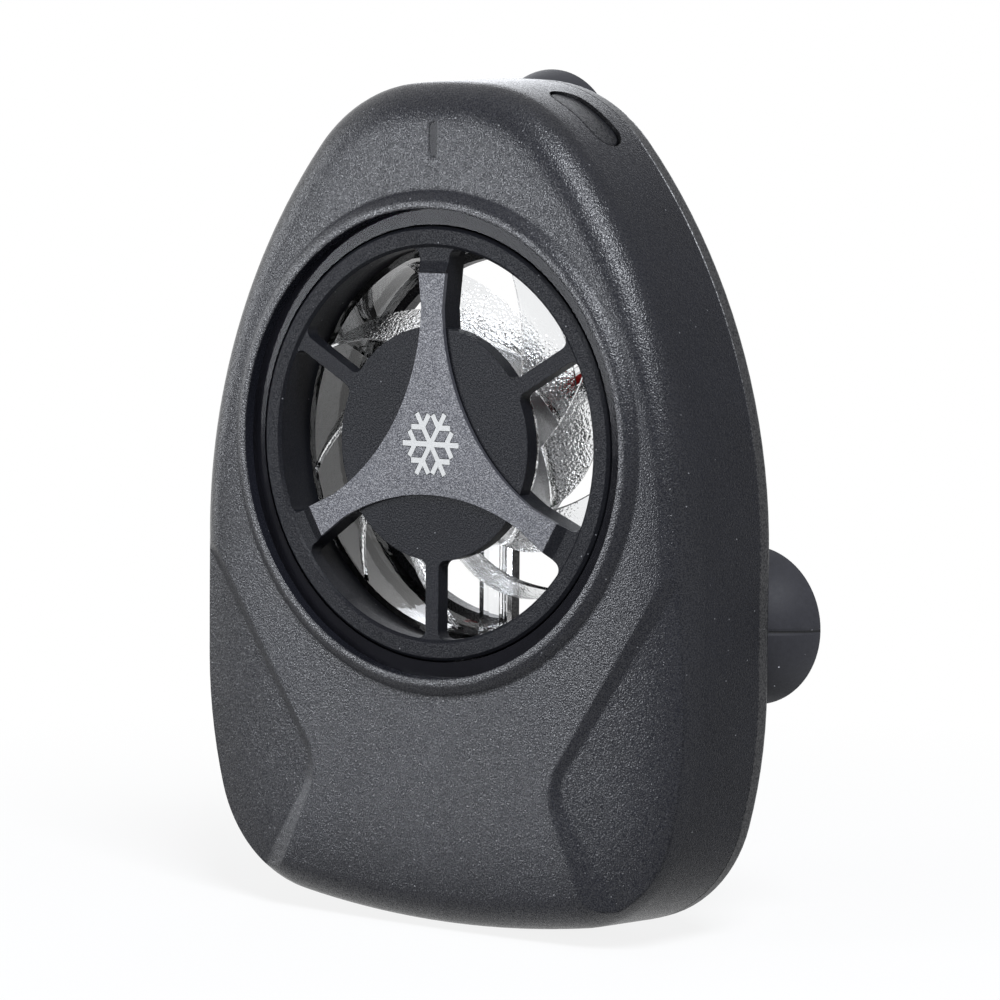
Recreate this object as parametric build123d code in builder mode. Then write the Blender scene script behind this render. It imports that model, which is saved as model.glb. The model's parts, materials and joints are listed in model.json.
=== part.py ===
from build123d import *
import os
from math import atan, atan2, cos, degrees, hypot, radians, sin, sqrt, tan

os.makedirs("parts", exist_ok=True)

# A see-through phone cooling fan that holds on to the back of a phone with three suction cups.
# The origin is on the fan axis, in the plane of the cups' lips. The phone lies behind it at +Y,
# the grille faces -Y, and the narrow end of the body is up. Depths count back from the rim.

# Fan opening and the rings round it, from the middle outward
opening_radius = 20.1
guard_ring_width = 2.1
light_gap = 1.8
rim_land = 0.7
rim_foot = 1.2
rim_curve_share = 0.42
guard_radius = opening_radius + guard_ring_width
rim_radius = guard_radius + light_gap

# Outline of the body, seen from the front
side_margin = 8.0
top_margin = 13.45
foot_margin = 26.2
flank_length = 13.5
crown_radius = 57.7
crown_angle = 4.6
top_radius = 17.7
low_flank_radius = 53.2
corner_radius = 14.7
foot_radius = 116.8
half_width = rim_radius + side_margin
top_height = rim_radius + top_margin
foot_height = -(rim_radius + foot_margin)
flank_bottom = -rim_radius
flank_top = flank_bottom + flank_length
crown_height = top_height - crown_radius
cap_centre = (
    (crown_radius - top_radius) * sin(radians(crown_angle)),
    crown_height + (crown_radius - top_radius) * cos(radians(crown_angle)),
)

# Walls, fits and fillets
wall = 1.6
fit = 0.05
seat_gap = 0.1
running_gap = 0.02
cut_over = 1.0
soft_edge = 0.15
edge_chamfer = 0.2
draft_inset = 0.65
side_rounding = 2.9
top_rounding = 4.1
foot_rounding = 3.2
side_rounding_depth = 3.7
top_rounding_depth = 2.95
foot_rounding_depth = 3.4
rounding_shares = (0, 0.02, 0.08, 0.2, 0.38, 0.6, 0.8, 1)

# Depths of the stack behind the rim
face_depth = 0.95
lens_depth = 1.35
lens_thickness = 1.5
guide_thickness = 1.4
board_thickness = 0.8
flange_thickness = 1.5
frame_length = 7.35
back_wall = 1.6
back_rim = 2.25
cup_standoff = 5.4
guide_depth = lens_depth + lens_thickness + fit
light_board_depth = guide_depth + guide_thickness + fit
flange_depth = light_board_depth + board_thickness + seat_gap
skirt_end = flange_depth + flange_thickness
frame_depth = skirt_end + fit
cover_inner_depth = frame_depth + frame_length + fit
body_depth = cover_inner_depth + back_wall
seam_depth = body_depth - back_rim
overall_depth = body_depth + cup_standoff

# Front panel: two sunken wings beside the lower middle
wing_kink_x = 15.6
wing_kink_below_rim = 10.3
wing_tip_below_axis = 10.0
wing_foot_x = 23.3
wing_foot_above_base = 4.0
wing_sink = 0.55
wing_bevel_run_share = 2.2
wing_out_slope_share = 0.075
wing_down_slope_share = 0.038
wing_corner = 4.0
wing_cut_height = 2.0

# Front guard
hub_disc_radius = 12.0
star_thickness = 0.45
star_front_depth = 0.9
arm_depth = 3.0
spoke_depth = 1.35
spoke_thickness = 1.6
spoke_width = 1.65
spoke_count = 3
first_arm_angle = 90
first_spoke_angle = 30
arm_neck_width = 2.7
arm_end_width = 4.0
arm_neck_radius = 14.0
arm_crease_radius = 17.5
arm_end_drop = 1.0
star_waist = 5.2
root_fillet = 0.9
guard_front_depth = 1.05
guard_ring_depth = 1.8
guard_skirt_wall = 1.5
guard_flange = 2.4
ring_chamfer = 0.3
badge_depth = 0.25
badge_arm_count = 6
badge_arm_length = 3.6
badge_arm_width = 0.55
badge_branch_length = 1.5
badge_branch_place_share = 0.55
badge_branch_angle = 60

# Screw lugs that carry the guard and the fan frame
lug_count = 3
first_lug_angle = -20
lug_overhang = 5.2
lug_radius = 2.0
screw_radius = 0.95
screw_hole_radius = 1.0
lug_hole_radius = 1.15
screw_head_radius = 1.7
screw_head_height = 1.3
screw_socket_radius = 0.75
screw_socket_depth = 0.6
fan_screw_grip = 2.0
lug_circle = guard_radius + lug_overhang

# Light ring
lens_cover = 0.8
lens_clearance = 0.1
ring_play = 0.2
light_board_overlap = 0.2
collar_wall = 1.0
led_count = 3
first_led_angle = 10
led_length = 2.8
led_width = 1.5
led_height = 1.3
led_gap = 0.15
tail_width = 6.0
tail_offset = 6.0
tail_length = 0.7
indicator_tab_width = 4.4

# Indicator light pipe above the fan
indicator_height_above_rim = 7.0
indicator_length = 3.4
indicator_width = 0.9
indicator_flange = 0.8
pipe_flange_thickness = 0.7
indicator_led_height = 0.7

# Power button on the upper right shoulder
button_angle = 36
button_length = 8.9
button_width = 4.0
button_seam_gap = 4.55
button_gap = 0.25
button_recess = 0.2
button_travel = 0.3
button_flange = 0.7
button_flange_thickness = 0.8
plunger_radius = 1.2
plunger_length = 0.9
switch_side = 4.4
switch_height = 1.6
button_board_length = 11.0
button_board_width = 6.4
rib_thickness = 1.2

# Fan frame and motor
duct_wall = 1.9
strut_width = 3.1
strut_thickness = 1.5
strut_floor = 0.6
strut_wall = 0.55
seat_margin = 0.2
seat_thickness = 1.5
seat_rise = 0.25
bearing_radius = 2.6
bearing_tube_wall = 0.9
bearing_length = 5.4
core_shoulder_radius = 4.2
shaft_radius = 1.0
shaft_root = 2.2
shaft_groove = 0.2
clip_play = 0.15
shaft_tail = 0.8
clip_radius = 1.7
clip_thickness = 0.35
motor_board_margin = 0.3
motor_board_thickness = 0.6
motor_chip_side = 2.6
motor_chip_height = 0.6
chip_angle = 45
rotor_clearance = 0.4

# Impeller
hub_radius = 11.0
hub_wall = 0.9
hub_length = 6.8
blade_count = 9
blade_tip_gap = 0.7
blade_tip_angle = 150
blade_sweep = 48
blade_pitch = 35
blade_root_chord = 8.2
blade_thickness = 0.9
blade_taper_share = 0.45
blade_crown_share = 0.12
blade_root_sink = 0.7
blade_tip_lean = 1.5
blade_section_shares = ((0, 1, 0), (0.27, 0.92, 0.3), (0.55, 0.7, 0.58), (0.8, 0.42, 0.82), (1, 0.14, 1))
rotor_boss_radius = 2.3
rotor_boss_length = 1.6
yoke_wall = 0.5
yoke_recess = 0.25
magnet_share = 0.2185
magnet_length = 4.6
air_gap = 0.3
core_length = 2.6
core_ring_share = 0.185
core_arm_share = 0.336
core_shoe_share = 0.151
core_shoe_angle = 68
core_arm_count = 4
coil_build_share = 0.168
coil_gap = 0.08

# Battery, main board and charging socket in the wide end
battery_side_gap = 0.5
battery_end_gap = 3.6
battery_thickness = 5.0
battery_corner = 1.0
battery_below_rim = 3.0
pad_thickness = 0.4
pad_margin = 3.0
main_board_side_gap = 1.2
main_board_below_rim = 0.6
main_board_end_gap = 1.35
main_board_back_gap = 2.9
standoff_radius = 1.5
standoff_inset = 1.7
standoff_drop = 3.0
board_screw_grip = 3.5
board_corner = 1.0
socket_width = 9.0
socket_height = 3.2
socket_length = 7.4
socket_wall = 0.35
socket_back = 1.0
socket_tongue_thickness = 0.7
socket_tongue_width = 6.6
socket_tongue_length = 5.0
port_gap = 0.2
chip_side = 4.0
chip_height = 0.9
chip_place_shares = ((-0.24, 0.28), (0.2, 0.38), (0.02, 0.58))

# Screws of the back cover
upper_boss_x = 19.4
upper_boss_above_axis = 19.6
lower_boss_x = 21.6
lower_boss_above_base = 8.2
boss_radius = 2.2
pad_height = 1.2
pad_radius = 2.5
counterbore_radius = 1.85
case_screw_length = 7.0

# Back cover
spigot_height = 1.0
spigot_wall = 0.9
back_edge_fillet = 0.8
vent_radius = 19.0
vent_hub_margin = 0.8
vent_rib_width = 0.9

# Suction cups
cup_radius = 8.16
top_cup_above_rim = 6.4
side_cup_gap = 0.19
side_cup_below_axis = 18.3
cup_neck_radius = 2.2
cup_head_radius = 2.9
cup_head_thickness = 1.0
cup_shoulder_radius = 3.6
cup_lip = 0.6
cup_hollow = 3.2
cup_bulge_share = 0.62
cup_rise_share = 0.42

# Leads
fan_wire_radius = 0.42
fan_wire_spacing = 0.95
battery_wire_radius = 0.4
ribbon_width = 4.0
ribbon_thickness = 0.3
wire_arc_share = 0.45
fan_lead_gaps = (3.5, 5.0, 5.8, 7.2, 4.4)
fan_lead_angles = (30, 12, -9.4, -30, -52)
fan_lead_x = 16.2
battery_lead_x = -9.0
battery_lead_spacing = 1.6
battery_lead_rise = 2.4
battery_lead_crest = 3.0
battery_lead_lean = 0.25


def at(depth):
    """Y of a depth behind the rim."""
    return depth - overall_depth


def level(depth):
    """Plane that faces the front, the given depth behind the rim."""
    return Plane.XZ.offset(-at(depth))


def polar(radius, angle, aside=0.0):
    """Point at a radius along a direction from the fan axis, moved aside to the left of it."""
    along = radians(angle)
    return (radius * cos(along) - aside * sin(along), radius * sin(along) + aside * cos(along))


def disc(depth, thickness, radius, mode=Mode.ADD):
    """Disc on the fan axis, from a depth back by its thickness."""
    with Locations(level(depth)):
        Cylinder(radius, thickness, align=(Align.CENTER, Align.CENTER, Align.MAX), mode=mode)


def posts(places, depth, length, radius, mode=Mode.ADD):
    """Round posts or holes at places on the front view, from a depth back by their length."""
    with Locations(level(depth)):
        with Locations(*places):
            Cylinder(radius, length, align=(Align.CENTER, Align.CENTER, Align.MAX), mode=mode)


def save(block, name):
    """Labels a finished piece and writes it."""
    block.part.label = name
    export_step(block.part, f"parts/{name}.step")


def crossing(centre_a, reach_a, centre_b, reach_b):
    """Right hand crossing of two circles."""
    across = (centre_b[0] - centre_a[0], centre_b[1] - centre_a[1])
    apart = hypot(*across)
    along = (reach_a**2 - reach_b**2 + apart**2) / (2 * apart)
    aside = sqrt(reach_a**2 - along**2)
    foot = (centre_a[0] + along * across[0] / apart, centre_a[1] + along * across[1] / apart)
    first = (foot[0] + aside * across[1] / apart, foot[1] - aside * across[0] / apart)
    second = (foot[0] - aside * across[1] / apart, foot[1] + aside * across[0] / apart)
    return max(first, second)


def outline(side, top=None, foot=None):
    """Face of the body's outline in tangent arcs, moved in by the insets at side, top and foot."""
    top = side if top is None else top
    foot = side if foot is None else foot
    width = half_width - side
    cap_radius = top_radius - top
    across = width - cap_centre[0]
    rise = cap_centre[1] - flank_top
    shoulder_radius = (across**2 + rise**2 - cap_radius**2) / (2 * (across - cap_radius))
    shoulder_centre = (width - shoulder_radius, flank_top)
    low_radius = low_flank_radius - side
    low_centre = (width - low_radius, flank_bottom)
    base_radius = foot_radius - foot
    base_centre = (0, foot_height + foot_radius)
    bend_radius = corner_radius - foot
    bend_centre = crossing(low_centre, low_radius - bend_radius, base_centre, base_radius - bend_radius)
    cap_turn = degrees(atan2(cap_centre[1] - shoulder_centre[1], cap_centre[0] - shoulder_centre[0]))
    low_turn = degrees(atan2(bend_centre[1] - low_centre[1], bend_centre[0] - low_centre[0]))
    bend_turn = degrees(atan2(bend_centre[1] - base_centre[1], bend_centre[0] - base_centre[0]))
    with BuildSketch() as shape:
        with BuildLine():
            CenterArc((0, crown_height), crown_radius - top, 90, -crown_angle)
            CenterArc(cap_centre, cap_radius, 90 - crown_angle, cap_turn - 90 + crown_angle)
            CenterArc(shoulder_centre, shoulder_radius, cap_turn, -cap_turn)
            Line((width, flank_top), (width, flank_bottom))
            CenterArc(low_centre, low_radius, 0, low_turn)
            CenterArc(bend_centre, bend_radius, low_turn, bend_turn - low_turn)
            CenterArc(base_centre, base_radius, bend_turn, -90 - bend_turn)
            mirror(about=Plane.YZ)
        make_face()
    return shape.sketch


def rounding_inset(depth, width, reach):
    """How far a rounded front edge, as wide and deep as given, lies inside the wall at a depth."""
    left = max(reach - depth, 0) / reach
    return width * (1 - sqrt(1 - left**2))


def wing_cutter(back):
    """Space in front of the right wing's panel, moved back by a distance."""
    kink_height = -(rim_radius + wing_kink_below_rim)
    tip = (half_width, -wing_tip_below_axis)
    base = (wing_foot_x, foot_height + wing_foot_above_base)
    upper = (tip[0] - wing_kink_x, tip[1] - kink_height)
    lower = (base[0] - wing_kink_x, base[1] - kink_height)
    normal = Vector(wing_out_slope_share, -1, -wing_down_slope_share)
    panel = Plane(
        origin=(wing_kink_x, at(face_depth + wing_sink + back), kink_height),
        x_dir=(1, wing_out_slope_share, 0),
        z_dir=normal,
    )
    with BuildPart() as cutter:
        with BuildSketch(panel):
            with BuildLine():
                Polyline(
                    (0, 0),
                    (2 * upper[0], 2 * upper[1]),
                    (2 * half_width, 2 * upper[1]),
                    (2 * half_width, 2 * lower[1]),
                    (2 * lower[0], 2 * lower[1]),
                    close=True,
                )
            make_face()
            fillet(vertices().sort_by(Axis.X)[0], radius=wing_corner)
        extrude(amount=wing_cut_height, taper=-degrees(atan(wing_bevel_run_share)))
    return cutter.part


def body_block(inset):
    """Outer form of the front shell, moved in by an inset on every side."""
    front = face_depth + inset
    length = seam_depth - front
    roundings = [
        (width - inset, reach - inset)
        for width, reach in (
            (side_rounding, side_rounding_depth),
            (top_rounding, top_rounding_depth),
            (foot_rounding, foot_rounding_depth),
        )
    ]
    steps = [max(reach for width, reach in roundings) * share for share in rounding_shares]
    with BuildPart() as block:
        for step in steps:
            drafted = inset + draft_inset * (length - step) / length
            insets = [drafted + rounding_inset(step, width, reach) for width, reach in roundings]
            with BuildSketch(level(front + step)):
                add(outline(*insets))
        loft()
        for step, lean in ((steps[-1], draft_inset * (length - steps[-1]) / length), (length, 0)):
            with BuildSketch(level(front + step)):
                add(outline(inset + lean))
        loft(ruled=True)
        cutter = wing_cutter(inset)
        add(cutter, mode=Mode.SUBTRACT)
        add(cutter.mirror(Plane.YZ), mode=Mode.SUBTRACT)
    return block.part


def ring(depth, thickness, outer, inner):
    """Ring on the fan axis, from a depth back by its thickness."""
    disc(depth, thickness, outer)
    disc(depth - cut_over, thickness + 2 * cut_over, inner, Mode.SUBTRACT)


def lugs(depth, root_radius):
    """Screw lugs round the fan, from a root radius out to the screw circle."""
    with BuildSketch(level(depth)) as shape:
        with PolarLocations(0, lug_count, start_angle=first_lug_angle):
            with Locations(((root_radius + lug_circle) / 2, 0)):
                Rectangle(lug_circle - root_radius, 2 * lug_radius)
            with Locations((lug_circle, 0)):
                Circle(lug_radius)
                Circle(lug_hole_radius, mode=Mode.SUBTRACT)
    extrude(shape.sketch, amount=-flange_thickness)


def screws(places, seat_depth, length):
    """Pan head screws that point to the front, their heads seated at a depth."""
    posts(places, seat_depth, screw_head_height, screw_head_radius)
    posts(places, seat_depth - length, length, screw_radius)
    with BuildSketch(level(seat_depth + screw_head_height)) as sockets:
        with Locations(*places):
            RegularPolygon(screw_socket_radius, 6)
    extrude(sockets.sketch, amount=screw_socket_depth, mode=Mode.SUBTRACT)


def bend_radii(route, share):
    """Radius for each corner of a lead's route, as wide as its two runs allow."""
    points = [Vector(*point) for point in route]
    radii = []
    for before, corner, after in zip(points, points[1:], points[2:]):
        half_turn = radians((corner - before).get_angle(after - corner)) / 2
        radii.append(share * min((corner - before).length, (after - corner).length) / tan(half_turn))
    return radii


def arm_width(radius):
    """Width of a guard arm at a radius, outside its neck."""
    widening = (arm_end_width - arm_neck_width) / (opening_radius - arm_neck_radius)
    return arm_neck_width + widening * (radius - arm_neck_radius)


def star(reach):
    """Three armed star with hollow sides, its arms widening from their necks to a reach."""
    step = 360 / spoke_count
    end_side = arm_width(reach) / 2
    neck_side = arm_neck_width / 2
    with BuildSketch() as shape:
        with BuildLine():
            for arm in range(spoke_count):
                angle = first_arm_angle + arm * step
                Polyline(
                    polar(arm_neck_radius, angle, -neck_side),
                    polar(reach, angle, -end_side),
                    polar(reach, angle, end_side),
                    polar(arm_neck_radius, angle, neck_side),
                )
                ThreePointArc(
                    polar(arm_neck_radius, angle, neck_side),
                    polar(star_waist, angle + step / 2),
                    polar(arm_neck_radius, angle + step, -neck_side),
                )
        make_face()
    return shape.sketch


def badge_shape(grow):
    """Six armed frost sign, grown on every side."""
    width = badge_arm_width + 2 * grow
    with BuildSketch() as shape:
        with PolarLocations(0, badge_arm_count):
            Rectangle(badge_arm_length + grow, width, align=(Align.MIN, Align.CENTER))
            for side in (-1, 1):
                turn = (0, 0, side * badge_branch_angle)
                with Locations(Location((badge_branch_place_share * badge_arm_length, 0, 0), turn)):
                    Rectangle(badge_branch_length + grow, width, align=(Align.MIN, Align.CENTER))
    return shape.sketch


# Places that several pieces share
lug_places = [polar(lug_circle, first_lug_angle + lug * 360 / lug_count) for lug in range(lug_count)]
case_places = [
    (side * reach, height)
    for side in (-1, 1)
    for reach, height in (
        (upper_boss_x, upper_boss_above_axis),
        (lower_boss_x, foot_height + lower_boss_above_base),
    )
]
spigot_inset = wall + fit + draft_inset * spigot_height / (seam_depth - face_depth - wall)
side_cup_x = half_width - spigot_inset - spigot_wall - cup_head_radius - side_cup_gap
cup_places = {
    "top": (0, rim_radius + top_cup_above_rim),
    "left": (-side_cup_x, -side_cup_below_axis),
    "right": (side_cup_x, -side_cup_below_axis),
}
light_board_radius = rim_radius + lens_cover + lens_clearance + light_board_overlap
ring_inner_radius = guard_radius + ring_play
case_seat_depth = body_depth - screw_head_height - seat_gap
case_pad_depth = cover_inner_depth - pad_height
main_board_depth = cover_inner_depth - main_board_back_gap
main_board_width = 2 * (lower_boss_x - boss_radius - main_board_side_gap)
board_top = -(rim_radius + main_board_below_rim)
board_base = foot_height + wall + draft_inset + main_board_end_gap
main_board_height = board_top - board_base
board_middle_depth = main_board_depth + board_thickness / 2
standoff_places = [
    (side * (main_board_width / 2 - standoff_inset), height)
    for side in (-1, 1)
    for height in (board_top - standoff_drop, board_base + standoff_drop)
]
board_screw_places = standoff_places[0::3]
indicator_place = (0, rim_radius + indicator_height_above_rim)
socket_depth = main_board_depth - socket_height / 2
seat_depth = cover_inner_depth - fit - seat_rise - seat_thickness
strut_front = seat_depth + strut_floor - strut_thickness
bearing_front = seat_depth - bearing_length
rotor_front = star_front_depth + arm_depth + rotor_clearance
boss_end = rotor_front + hub_wall + rotor_boss_length
yoke_front = rotor_front + hub_wall + fit
rotor_end = rotor_front + hub_length
yoke_end = rotor_end - yoke_recess
yoke_radius = hub_radius - hub_wall - fit
magnet_radius = yoke_radius - yoke_wall - fit
core_bore = bearing_radius + fit + bearing_tube_wall
motor_room = magnet_radius - core_bore
magnet_thickness = magnet_share * motor_room
core_radius = magnet_radius - magnet_thickness - air_gap
core_ring_wall = core_ring_share * motor_room
core_arm_width = core_arm_share * motor_room
core_shoe_thickness = core_shoe_share * motor_room
coil_build = coil_build_share * motor_room
motor_board_radius = magnet_radius - motor_board_margin
seat_radius = motor_board_radius + seat_margin
core_middle = yoke_end - magnet_length / 2
core_end = core_middle + core_length / 2

# The power button stands square to the wall of the shoulder arc
button_depth = seam_depth - button_seam_gap
button_reach = top_radius - draft_inset * (seam_depth - button_depth) / (seam_depth - face_depth)
button_sag = (button_length / 2 + button_flange) ** 2 / (2 * top_radius)
button_back = button_reach - wall - button_sag - seat_gap - button_flange_thickness
switch_top = button_back - plunger_length + button_travel + seat_gap
switch_base = switch_top - switch_height
rib_reach = switch_base - board_thickness


def button_plane(reach):
    """Plane square to the button's travel, at a reach from the centre of the shoulder arc."""
    lean = radians(button_angle)
    return Plane(
        origin=(cap_centre[0] + reach * sin(lean), at(button_depth), cap_centre[1] + reach * cos(lean)),
        x_dir=(cos(lean), 0, -sin(lean)),
        z_dir=(sin(lean), 0, cos(lean)),
    )


def pill(back_reach, front_reach, grow=0.0, mode=Mode.ADD):
    """Pill shaped block along the button's travel, grown on every side."""
    with BuildSketch(button_plane(back_reach)) as shape:
        SlotOverall(button_length + 2 * grow, button_width + 2 * grow)
    extrude(shape.sketch, amount=front_reach - back_reach, mode=mode)


# Front shell: the black body with its raised rim, posts, collar and button wall
with BuildPart() as shell_posts:
    posts(lug_places, face_depth, flange_depth - fit - face_depth, lug_radius)
    posts(case_places, face_depth, case_pad_depth - fit - face_depth, boss_radius)
    posts(standoff_places, face_depth, main_board_depth - face_depth, standoff_radius)
    disc(face_depth, light_board_depth - fit - face_depth, light_board_radius + collar_wall)
    with BuildSketch(button_plane(rib_reach)):
        with Locations((0, button_board_width / 2)):
            Rectangle(button_board_length, 2 * button_depth, align=(Align.CENTER, Align.MAX))
    extrude(amount=-rib_thickness)
    add(body_block(0), mode=Mode.INTERSECT)

with BuildPart() as front_shell:
    add(body_block(0))
    add(body_block(wall), mode=Mode.SUBTRACT)
    add(shell_posts.part)
    with BuildSketch(Plane.XY):
        land_end = rim_radius + rim_land
        foot_end = land_end + rim_foot
        steep = rim_foot * (1 - rim_curve_share)
        hollow = (land_end + steep, at(rim_curve_share * face_depth))
        with BuildLine():
            Polyline(
                (foot_end, at(face_depth)),
                (foot_end, at(face_depth + wall)),
                (rim_radius, at(face_depth + wall)),
                (rim_radius, at(0)),
                (land_end, at(0)),
            )
            ThreePointArc((land_end, at(0)), hollow, (foot_end, at(face_depth)))
        make_face()
        fillet(vertices().group_by(Axis.Y)[0], radius=soft_edge)
    revolve(axis=Axis.Y)
    bore_end = light_board_depth + cut_over
    disc(-cut_over, lens_depth + 2 * cut_over, rim_radius, Mode.SUBTRACT)
    lens_bore = rim_radius + lens_cover + lens_clearance
    disc(lens_depth - fit, bore_end - lens_depth, lens_bore, Mode.SUBTRACT)
    pilot_length = fan_screw_grip + cut_over
    posts(lug_places, flange_depth - pilot_length, pilot_length, screw_hole_radius, Mode.SUBTRACT)
    case_pilot = case_seat_depth - case_screw_length - seat_gap
    posts(case_places, case_pilot, case_pad_depth - case_pilot, screw_hole_radius, Mode.SUBTRACT)
    board_pilot = main_board_depth - board_screw_grip - seat_gap
    posts(board_screw_places, board_pilot, main_board_depth - board_pilot, screw_hole_radius, Mode.SUBTRACT)
    pill(button_reach - wall - cut_over, top_radius + cut_over, button_gap, Mode.SUBTRACT)
    with BuildSketch(level(0)):
        with Locations(indicator_place):
            SlotOverall(indicator_length + 2 * fit, indicator_width + 2 * fit, rotation=90)
    extrude(amount=-(face_depth + wall + cut_over), mode=Mode.SUBTRACT)
    with BuildSketch(level(face_depth + wall)):
        with Locations(indicator_place):
            pocket_length = indicator_length + 2 * indicator_flange + 2 * seat_gap
            pocket_width = indicator_width + 2 * indicator_flange + 2 * seat_gap
            SlotOverall(pocket_length, pocket_width, rotation=90)
    extrude(amount=-wall, mode=Mode.SUBTRACT)
    with BuildSketch(Plane(origin=(0, at(socket_depth), foot_height - cut_over), z_dir=(0, 0, 1))):
        SlotOverall(socket_width + 2 * port_gap, socket_height + 2 * port_gap)
    extrude(amount=wall + draft_inset + 2 * cut_over, mode=Mode.SUBTRACT)
save(front_shell, "front_shell")

# Front guard: ring, hub disc, three thin spokes and three deep arms
with BuildPart() as front_grille:
    arm_root = opening_radius + guard_ring_width / 2
    arm_edge = star_front_depth - cut_over
    with BuildSketch(level(star_front_depth)):
        add(star(arm_root))
    extrude(amount=-arm_depth)
    with BuildSketch(level(star_front_depth)):
        add(star(arm_crease_radius))
    extrude(amount=-star_thickness, mode=Mode.SUBTRACT)
    with BuildSketch(Plane.XY):
        with BuildLine():
            Polyline(
                (arm_crease_radius, at(star_front_depth)),
                (opening_radius, at(star_front_depth + arm_end_drop)),
                (guard_radius, at(star_front_depth + arm_end_drop)),
                (guard_radius, at(arm_edge)),
                (arm_crease_radius, at(arm_edge)),
                close=True,
            )
        make_face()
    revolve(axis=Axis.Y, mode=Mode.SUBTRACT)
    with BuildSketch(level(spoke_depth)):
        Circle(guard_radius)
        Circle(opening_radius, mode=Mode.SUBTRACT)
        Circle(hub_disc_radius)
        with PolarLocations(0, spoke_count, start_angle=first_spoke_angle):
            Rectangle(arm_root, spoke_width, align=(Align.MIN, Align.CENTER))
        roots = [
            corner
            for corner in vertices()
            if hub_disc_radius - fit < hypot(corner.X, corner.Y) < opening_radius + fit
        ]
        fillet(roots, radius=root_fillet)
    extrude(amount=-spoke_thickness)
    with BuildSketch(level(spoke_depth)):
        Circle(guard_radius)
        Circle(opening_radius, mode=Mode.SUBTRACT)
        add(star(arm_root))
        roots = [
            corner
            for corner in vertices()
            if opening_radius - fit < hypot(corner.X, corner.Y) < opening_radius + fit
        ]
        fillet(roots, radius=root_fillet)
    extrude(amount=-spoke_thickness)
    with BuildSketch(Plane.XY):
        skirt_inner = guard_radius - guard_skirt_wall
        flange_edge = guard_radius + guard_flange
        with BuildLine():
            Polyline(
                (opening_radius + ring_chamfer, at(guard_front_depth)),
                (guard_radius - ring_chamfer, at(guard_front_depth)),
                (guard_radius, at(guard_front_depth + ring_chamfer)),
                (guard_radius, at(flange_depth)),
                (flange_edge, at(flange_depth)),
                (flange_edge, at(skirt_end)),
                (skirt_inner, at(skirt_end)),
                (skirt_inner, at(guard_front_depth + guard_ring_depth)),
                (opening_radius, at(guard_front_depth + guard_ring_depth)),
                (opening_radius, at(guard_front_depth + ring_chamfer)),
                close=True,
            )
        make_face()
    revolve(axis=Axis.Y)
    lugs(flange_depth, guard_radius)
save(front_grille, "front_grille")

# Star trim with a frost sign let into its middle
with BuildPart() as star_trim:
    with BuildSketch(level(star_front_depth)):
        add(star(arm_crease_radius - fit))
    extrude(amount=-star_thickness)
    with BuildSketch(level(star_front_depth)):
        add(badge_shape(fit))
    extrude(amount=-badge_depth, mode=Mode.SUBTRACT)
save(star_trim, "star_trim")

with BuildPart() as hub_badge:
    with BuildSketch(level(star_front_depth)):
        add(badge_shape(0))
    extrude(amount=-badge_depth)
save(hub_badge, "hub_badge")

# Light ring between the guard and the rim: smoked lens, light guide, board and lamps
with BuildPart() as light_ring:
    ring(lens_depth, lens_thickness, rim_radius + lens_cover, ring_inner_radius)
save(light_ring, "light_ring")

led_circle = (ring_inner_radius + rim_radius + lens_cover) / 2
led_front = light_board_depth - led_height

with BuildPart() as light_guide:
    ring(guide_depth, guide_thickness, rim_radius + lens_cover, ring_inner_radius)
    with BuildSketch(level(guide_depth)):
        with PolarLocations(led_circle, led_count, start_angle=first_led_angle):
            Rectangle(2 * (rim_radius - guard_radius), led_length + 2 * led_gap)
    extrude(amount=-guide_thickness, mode=Mode.SUBTRACT)
save(light_guide, "light_guide")

with BuildPart() as leds:
    with BuildSketch(level(led_front)):
        with PolarLocations(led_circle, led_count, start_angle=first_led_angle):
            Rectangle(led_width, led_length)
    extrude(amount=-led_height)
save(leds, "leds")

with BuildPart() as light_board:
    with BuildSketch(level(light_board_depth)):
        Circle(light_board_radius)
        with Locations((0, indicator_place[1] + indicator_tab_width / 2)):
            tab_height = indicator_place[1] + indicator_tab_width / 2 - guard_radius
            Rectangle(indicator_tab_width, tab_height, align=(Align.CENTER, Align.MAX))
        with Locations((tail_offset, -(light_board_radius + tail_length))):
            Rectangle(tail_width, tail_offset, align=(Align.CENTER, Align.MIN))
        Circle(ring_inner_radius, mode=Mode.SUBTRACT)
    extrude(amount=-board_thickness)
save(light_board, "light_board")

with BuildPart() as indicator_light_pipe:
    with BuildSketch(level(face_depth + fit)):
        with Locations(indicator_place):
            SlotOverall(indicator_length, indicator_width, rotation=90)
    extrude(amount=-(wall + pipe_flange_thickness))
    with BuildSketch(level(face_depth + wall + fit)):
        with Locations(indicator_place):
            flange_length = indicator_length + 2 * indicator_flange
            SlotOverall(flange_length, indicator_width + 2 * indicator_flange, rotation=90)
    extrude(amount=-pipe_flange_thickness)
save(indicator_light_pipe, "indicator_light_pipe")

with BuildPart() as indicator_led:
    with BuildSketch(level(light_board_depth - indicator_led_height)):
        with Locations(indicator_place):
            Rectangle(indicator_led_height, 2 * indicator_led_height)
    extrude(amount=-indicator_led_height)
save(indicator_led, "indicator_led")

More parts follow.
